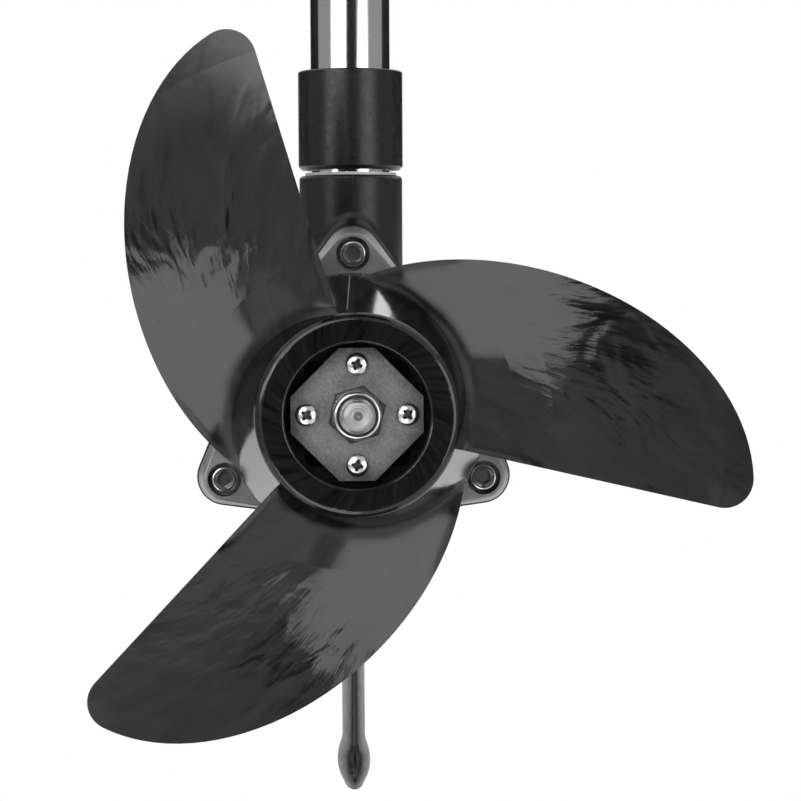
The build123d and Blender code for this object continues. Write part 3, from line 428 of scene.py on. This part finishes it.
profile = [(0, screws_high[1]), (SHANK_R, screws_high[1]), (SHANK_R, plate_y), (HEAD_R, plate_y)]
for angle in range(90, 0, -HEAD_STEP):
    radius = HEAD_R * sin(radians(angle))
    profile.append((radius, plate_y - dome(radius)))
profile.append((0, plate_y - HEAD_H))
cross_top = (plate_y - HEAD_H - CROSS_ABOVE, CROSS_REACH, CROSS_WING)
cross_bottom = (plate_y - CROSS_FLOOR, CROSS_TIP_REACH, CROSS_TIP_WING)
for number, (where, turned) in enumerate(SCREW_TURNS, 1):
    screw = as_object("anode_screw_%d" % number, lathe(profile, SCREW_STEPS))
    cutter = as_object("cross", cross_cutter(cross_top, cross_bottom))
    cutter.rotation_euler = (0, radians(turned), 0)
    cut = screw.modifiers.new("cross", "BOOLEAN")
    cut.object = cutter
    cut.solver = "EXACT"
    bpy.context.view_layer.update()
    cut_screw = screw.evaluated_get(bpy.context.evaluated_depsgraph_get())
    mesh = bpy.data.meshes.new_from_object(cut_screw)
    screw.modifiers.clear()
    bpy.data.objects.remove(cutter)
    mesh.materials.clear()
    mesh.materials.append(materials["hardware"])
    mesh.materials.append(painted_cross_shade)
    for face in mesh.polygons:
        x, y, z = face.center
        out = (x * x + z * z) ** 0.5
        inside = out < RECESS_R and y > plate_y - dome(out) + UNDER_DOME
        face.use_smooth = True
        # painted shade: the cross's faces deeper than RECESS_FLOOR get the dark material
        face.material_index = int(inside and y < plate_y - RECESS_FLOOR)
    mesh.set_sharp_from_angle(angle=SHARP_EDGE)
    side, up = cos(radians(where)), sin(radians(where))
    mesh.transform(Matrix.Translation((screw_out * side, 0, AXIS_Z + screw_out * up)))
    screw.data = mesh
    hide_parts("anode_screws")
    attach(screw, "rotor")


# ---------------------------------------------------------------- raised parting lines
LINE_WIDTH = 0.0004
LINE_HEIGHT = 0.00018
LINE_SINK = 0.00005  # depth of the ridge's foot under the surface
LINE_STEPS = 14
CAST_FROM_Y = -0.3  # behind everything


def parting_line(name, node, body, start, end):
    """Thin ridge with a three-sided section on a node's rear side, between two points (x, z)."""
    tree = BVHTree.FromObject(nodes[node], bpy.context.evaluated_depsgraph_get())
    bm = bmesh.new()
    rings = []
    across = Vector((1, 0, 0))
    for i in range(LINE_STEPS + 1):
        t = i / LINE_STEPS
        x, z = (a + (b - a) * t for a, b in zip(start, end))
        spot, normal = tree.ray_cast(Vector((x, CAST_FROM_Y, z)), Vector((0, 1, 0)))[:2]
        side = (across - across.dot(normal) * normal).normalized() * LINE_WIDTH / 2
        foot = spot - normal * LINE_SINK
        points = (foot - side, spot + normal * LINE_HEIGHT, foot + side)
        rings.append([bm.verts.new(point) for point in points])
    ridge = as_object(name, closed_sleeve(bm, rings))
    ridge.data.materials.append(line_black)
    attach(ridge, body)


line_black = plain("parting_line_black", (0.05, 0.05, 0.05), 0.0, 0.3)
parting_line(
    "neck_parting_line", "motor_housing", "lower_unit", (0.0005, -0.1893), (0.0005, -0.1932)
)
parting_line(
    "hub_parting_line", "propeller", "rotor", (-0.0016, AXIS_Z + 0.0464), (-0.0031, AXIS_Z + 0.0352)
)


# ---------------------------------------------------------------- round-wire brush springs
WIRE_R = 0.00035
COILS = 4
COIL_STEPS = 28
WIRE_STEPS = 10


def coil_spring(name, low, high):
    """Helix of round wire that fills a box standing on z, closed at both ends of the wire."""
    middle = (Vector(low) + Vector(high)) / 2
    coil_r = (high[0] - low[0]) / 2 - WIRE_R
    rise = high[2] - low[2] - 2 * WIRE_R
    bm = bmesh.new()
    rings = []
    for i in range(COILS * COIL_STEPS + 1):
        turn = 2 * pi * i / COIL_STEPS
        outward = Vector((cos(turn), sin(turn), 0))
        z = low[2] + WIRE_R + rise * i / (COILS * COIL_STEPS)
        centre = Vector((middle.x, middle.y, z)) + outward * coil_r
        ring = []
        for j in range(WIRE_STEPS):
            a = 2 * pi * j / WIRE_STEPS
            ring.append(bm.verts.new(centre + WIRE_R * (cos(a) * outward + Vector((0, 0, sin(a))))))
        rings.append(ring)
    closed_sleeve(bm, rings)
    for face in bm.faces:
        face.smooth = len(face.verts) == 4
    spring = as_object(name, bm)
    spring.data.materials.append(materials["spring_steel"])
    return spring


for side, end in (("upper", 1), ("lower", 0)):
    node = "brush_spring_" + side
    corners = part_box(node)
    spring = coil_spring("brush_coil_" + side, *corners)
    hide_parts(node)
    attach(spring, "lower_unit")
    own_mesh(spring)


# ---------------------------------------------------------------- camera
PICTURE = 801  # width of the picture in pixels
FOCAL = 2337.5  # focal length in pixels, from the fit to the photograph's circles and outline
SENSOR = 36
camera = bpy.data.objects.new("camera", bpy.data.cameras.new("camera"))
bpy.context.collection.objects.link(camera)
camera.location = (-0.0136, -0.8854, -0.2240)
camera.rotation_euler = (radians(90 - 3.228), radians(0.288), radians(-2.083))
camera.data.sensor_width = SENSOR
camera.data.lens = SENSOR * FOCAL / PICTURE
camera.data.clip_start = 0.01
bpy.context.scene.camera = camera


# ---------------------------------------------------------------- studio
def seen_by(tree, *rays):
    """1 for rays of these kinds and 0 for others."""
    path = tree.nodes.new("ShaderNodeLightPath")
    seen = path.outputs["Is %s Ray" % rays[0]]
    for ray in rays[1:]:
        either = tree.nodes.new("ShaderNodeMath")
        either.operation = "MAXIMUM"
        tree.links.new(seen, either.inputs[0])
        tree.links.new(path.outputs["Is %s Ray" % ray], either.inputs[1])
        seen = either.outputs[0]
    return seen


def studio_material(name, color, share_seen, fade=None):
    """Diffuse for light, plus a share of plain white for what the camera and mirrors see.
    With a fade, the share grows to all of it between two distances from the middle."""
    mat = bpy.data.materials.new(name)
    mat.use_nodes = True
    tree = mat.node_tree
    tree.nodes.clear()
    out = tree.nodes.new("ShaderNodeOutputMaterial")
    mix = tree.nodes.new("ShaderNodeMixShader")
    diffuse = tree.nodes.new("ShaderNodeBsdfDiffuse")
    glow = tree.nodes.new("ShaderNodeEmission")
    share = tree.nodes.new("ShaderNodeMath")
    share.operation = "MULTIPLY"
    share.inputs[1].default_value = share_seen
    if fade is not None:
        coord = tree.nodes.new("ShaderNodeTexCoord")
        length = tree.nodes.new("ShaderNodeVectorMath")
        length.operation = "LENGTH"
        ramp = tree.nodes.new("ShaderNodeMapRange")
        ramp.interpolation_type = "SMOOTHSTEP"
        for key, number in zip(RANGE_INPUTS, (*fade, share_seen, 1.0)):
            ramp.inputs[key].default_value = number
        tree.links.new(coord.outputs["Object"], length.inputs[0])
        tree.links.new(length.outputs["Value"], ramp.inputs["Value"])
        tree.links.new(ramp.outputs["Result"], share.inputs[1])
    diffuse.inputs[0].default_value = (*color, 1)
    glow.inputs[0].default_value = (1, 1, 1, 1)
    glow.inputs[1].default_value = 1.0
    tree.links.new(seen_by(tree, "Camera", "Glossy"), share.inputs[0])
    tree.links.new(share.outputs[0], mix.inputs[0])
    tree.links.new(diffuse.outputs[0], mix.inputs[1])
    tree.links.new(glow.outputs[0], mix.inputs[2])
    tree.links.new(mix.outputs[0], out.inputs[0])
    return mat


def panel(name, corners, mat):
    """One flat stage face through the corners."""
    mesh = bpy.data.meshes.new(name)
    mesh.from_pydata(corners, [], [tuple(range(len(corners)))])
    mesh.materials.append(mat)
    obj = bpy.data.objects.new(name, mesh)
    bpy.context.collection.objects.link(obj)
    return obj


FLOOR_Z = -1.8
TARGET = Vector((0, -0.06, AXIS_Z))


def direction(side, up):
    """Unit direction from the object: degrees right of the camera's side, and above it."""
    a, b = radians(side), radians(up)
    return Vector((sin(a) * cos(b), -cos(a) * cos(b), sin(b)))


def aim(obj, side, up, away, roll, axis):
    """Places a lamp or card that faces the object, turned by roll degrees about its centre line."""
    obj.location = TARGET + direction(side, up) * away
    turn = Quaternion(direction(side, up), radians(roll))
    obj.rotation_euler = (turn @ (TARGET - obj.location).to_track_quat(axis, "Y")).to_euler()


def lamp(name, side, up, roll, away, width, height, radiance):
    light = bpy.data.lights.new(name, "AREA")
    light.shape = "RECTANGLE"
    light.size = width
    light.size_y = height
    light.energy = radiance * pi * width * height
    obj = bpy.data.objects.new(name, light)
    bpy.context.collection.objects.link(obj)
    aim(obj, side, up, away, roll, "-Z")
    obj.visible_camera = False


def card(name, side, up, roll, away, width, height, mat):
    """A studio card that only reflections see."""
    w, h = width / 2, height / 2
    obj = panel(name, [(-w, -h, 0), (w, -h, 0), (w, h, 0), (-w, h, 0)], mat)
    aim(obj, side, up, away, roll, "Z")
    only_reflections(obj)


def only_reflections(obj):
    obj.visible_camera = False
    obj.visible_diffuse = False
    obj.visible_shadow = False


def flat_colour(name, level):
    mat = bpy.data.materials.new(name)
    mat.use_nodes = True
    shader = mat.node_tree.nodes["Principled BSDF"]
    shader.inputs["Base Color"].default_value = (level, level, level, 1)
    shader.inputs["Roughness"].default_value = 1.0
    return mat


FLOOR_RADIUS = 4.0
FLOOR_SIDES = 96
FLOOR_FADE = (1.5, 3.9)  # from where the floor keeps its shadow to where it is all white
rim = []
for i in range(FLOOR_SIDES):
    a = 2 * pi * i / FLOOR_SIDES
    rim.append((FLOOR_RADIUS * cos(a), FLOOR_RADIUS * sin(a), 0))
floor = panel("floor", rim, studio_material("floor_pale", (0.86, 0.86, 0.86), 0.85, FLOOR_FADE))
floor.location = (0, 0, FLOOR_Z)

black = flat_colour("flag_black", 0.01)
grey = studio_material("wall_grey", (0.5, 0.5, 0.5), 0.5)
dim = studio_material("wall_dim", (0.3, 0.3, 0.3), 0.26)

BOX_AWAY = 1.5
BOX_LEVEL = 2.6
LIP = 0.05  # width of the black frame that the card behind a softbox leaves round it
LIP_BEHIND = 0.02
for name, side, up, roll, size in (
    ("softbox_low", -18.3, -37.4, 75.6, 0.90),
    ("softbox_right", 38.5, -0.2, 22.2, 0.90),
    ("softbox_high", -22.8, 26.8, -31.0, 0.92),
):
    lamp(name, side, up, roll, BOX_AWAY, size, size, BOX_LEVEL)
    framed = size + 2 * LIP
    card(name + "_lip", side, up, roll, BOX_AWAY + LIP_BEHIND, framed, framed, black)
lamp("strip_left", -37, 9.2, 0, 1.42, 1.06, 0.27, 3.2)
lamp("back_high", 177, 33, 0, 1.8, 0.6, 0.5, 1.6)

# side, up and roll in degrees, distance, width, height
card("wall_front", 0, 0, 0, 2.8, 11, 9, grey)
card("wall_left", -88, 4, 0, 2.1, 2.7, 2.4, dim)
card("wall_right", 88, 4, 0, 2.1, 2.7, 2.4, dim)
card("flag_below", 0, -82, 0, 1.3, 1.1, 1.1, black)
card("flag_above", 0, 74, 0, 1.6, 1.2, 1.2, black)
card("flag_strip", 5, 8, 0, 1.68, 1.2, 0.32, black)
card("flag_left", -134, 7.5, 0, 1.9, 2.0, 0.45, black)
card("flag_right", 134, 7.5, 0, 1.9, 2.0, 0.45, black)
FLAG_CORNERS = [(-1, 33), (-28, -24), (35, -15)]  # degrees to the side and up
FLAG_AWAY = 1.7
corners = [TARGET + direction(*corner) * FLAG_AWAY for corner in FLAG_CORNERS]
only_reflections(panel("flag_front", corners, black))

WORLD_FILL = 0.42  # what the white world gives as light; it is seen at 1
world = bpy.data.worlds.new("studio")
bpy.context.scene.world = world
world.use_nodes = True
tree = world.node_tree
background = tree.nodes["Background"]
level = tree.nodes.new("ShaderNodeMapRange")
level.inputs["To Min"].default_value = WORLD_FILL
level.inputs["To Max"].default_value = 1.0
tree.links.new(seen_by(tree, "Camera", "Glossy", "Transmission"), level.inputs["Value"])
background.inputs[0].default_value = (1, 1, 1, 1)
tree.links.new(level.outputs[0], background.inputs[1])

bpy.context.scene.view_settings.view_transform = "Standard"
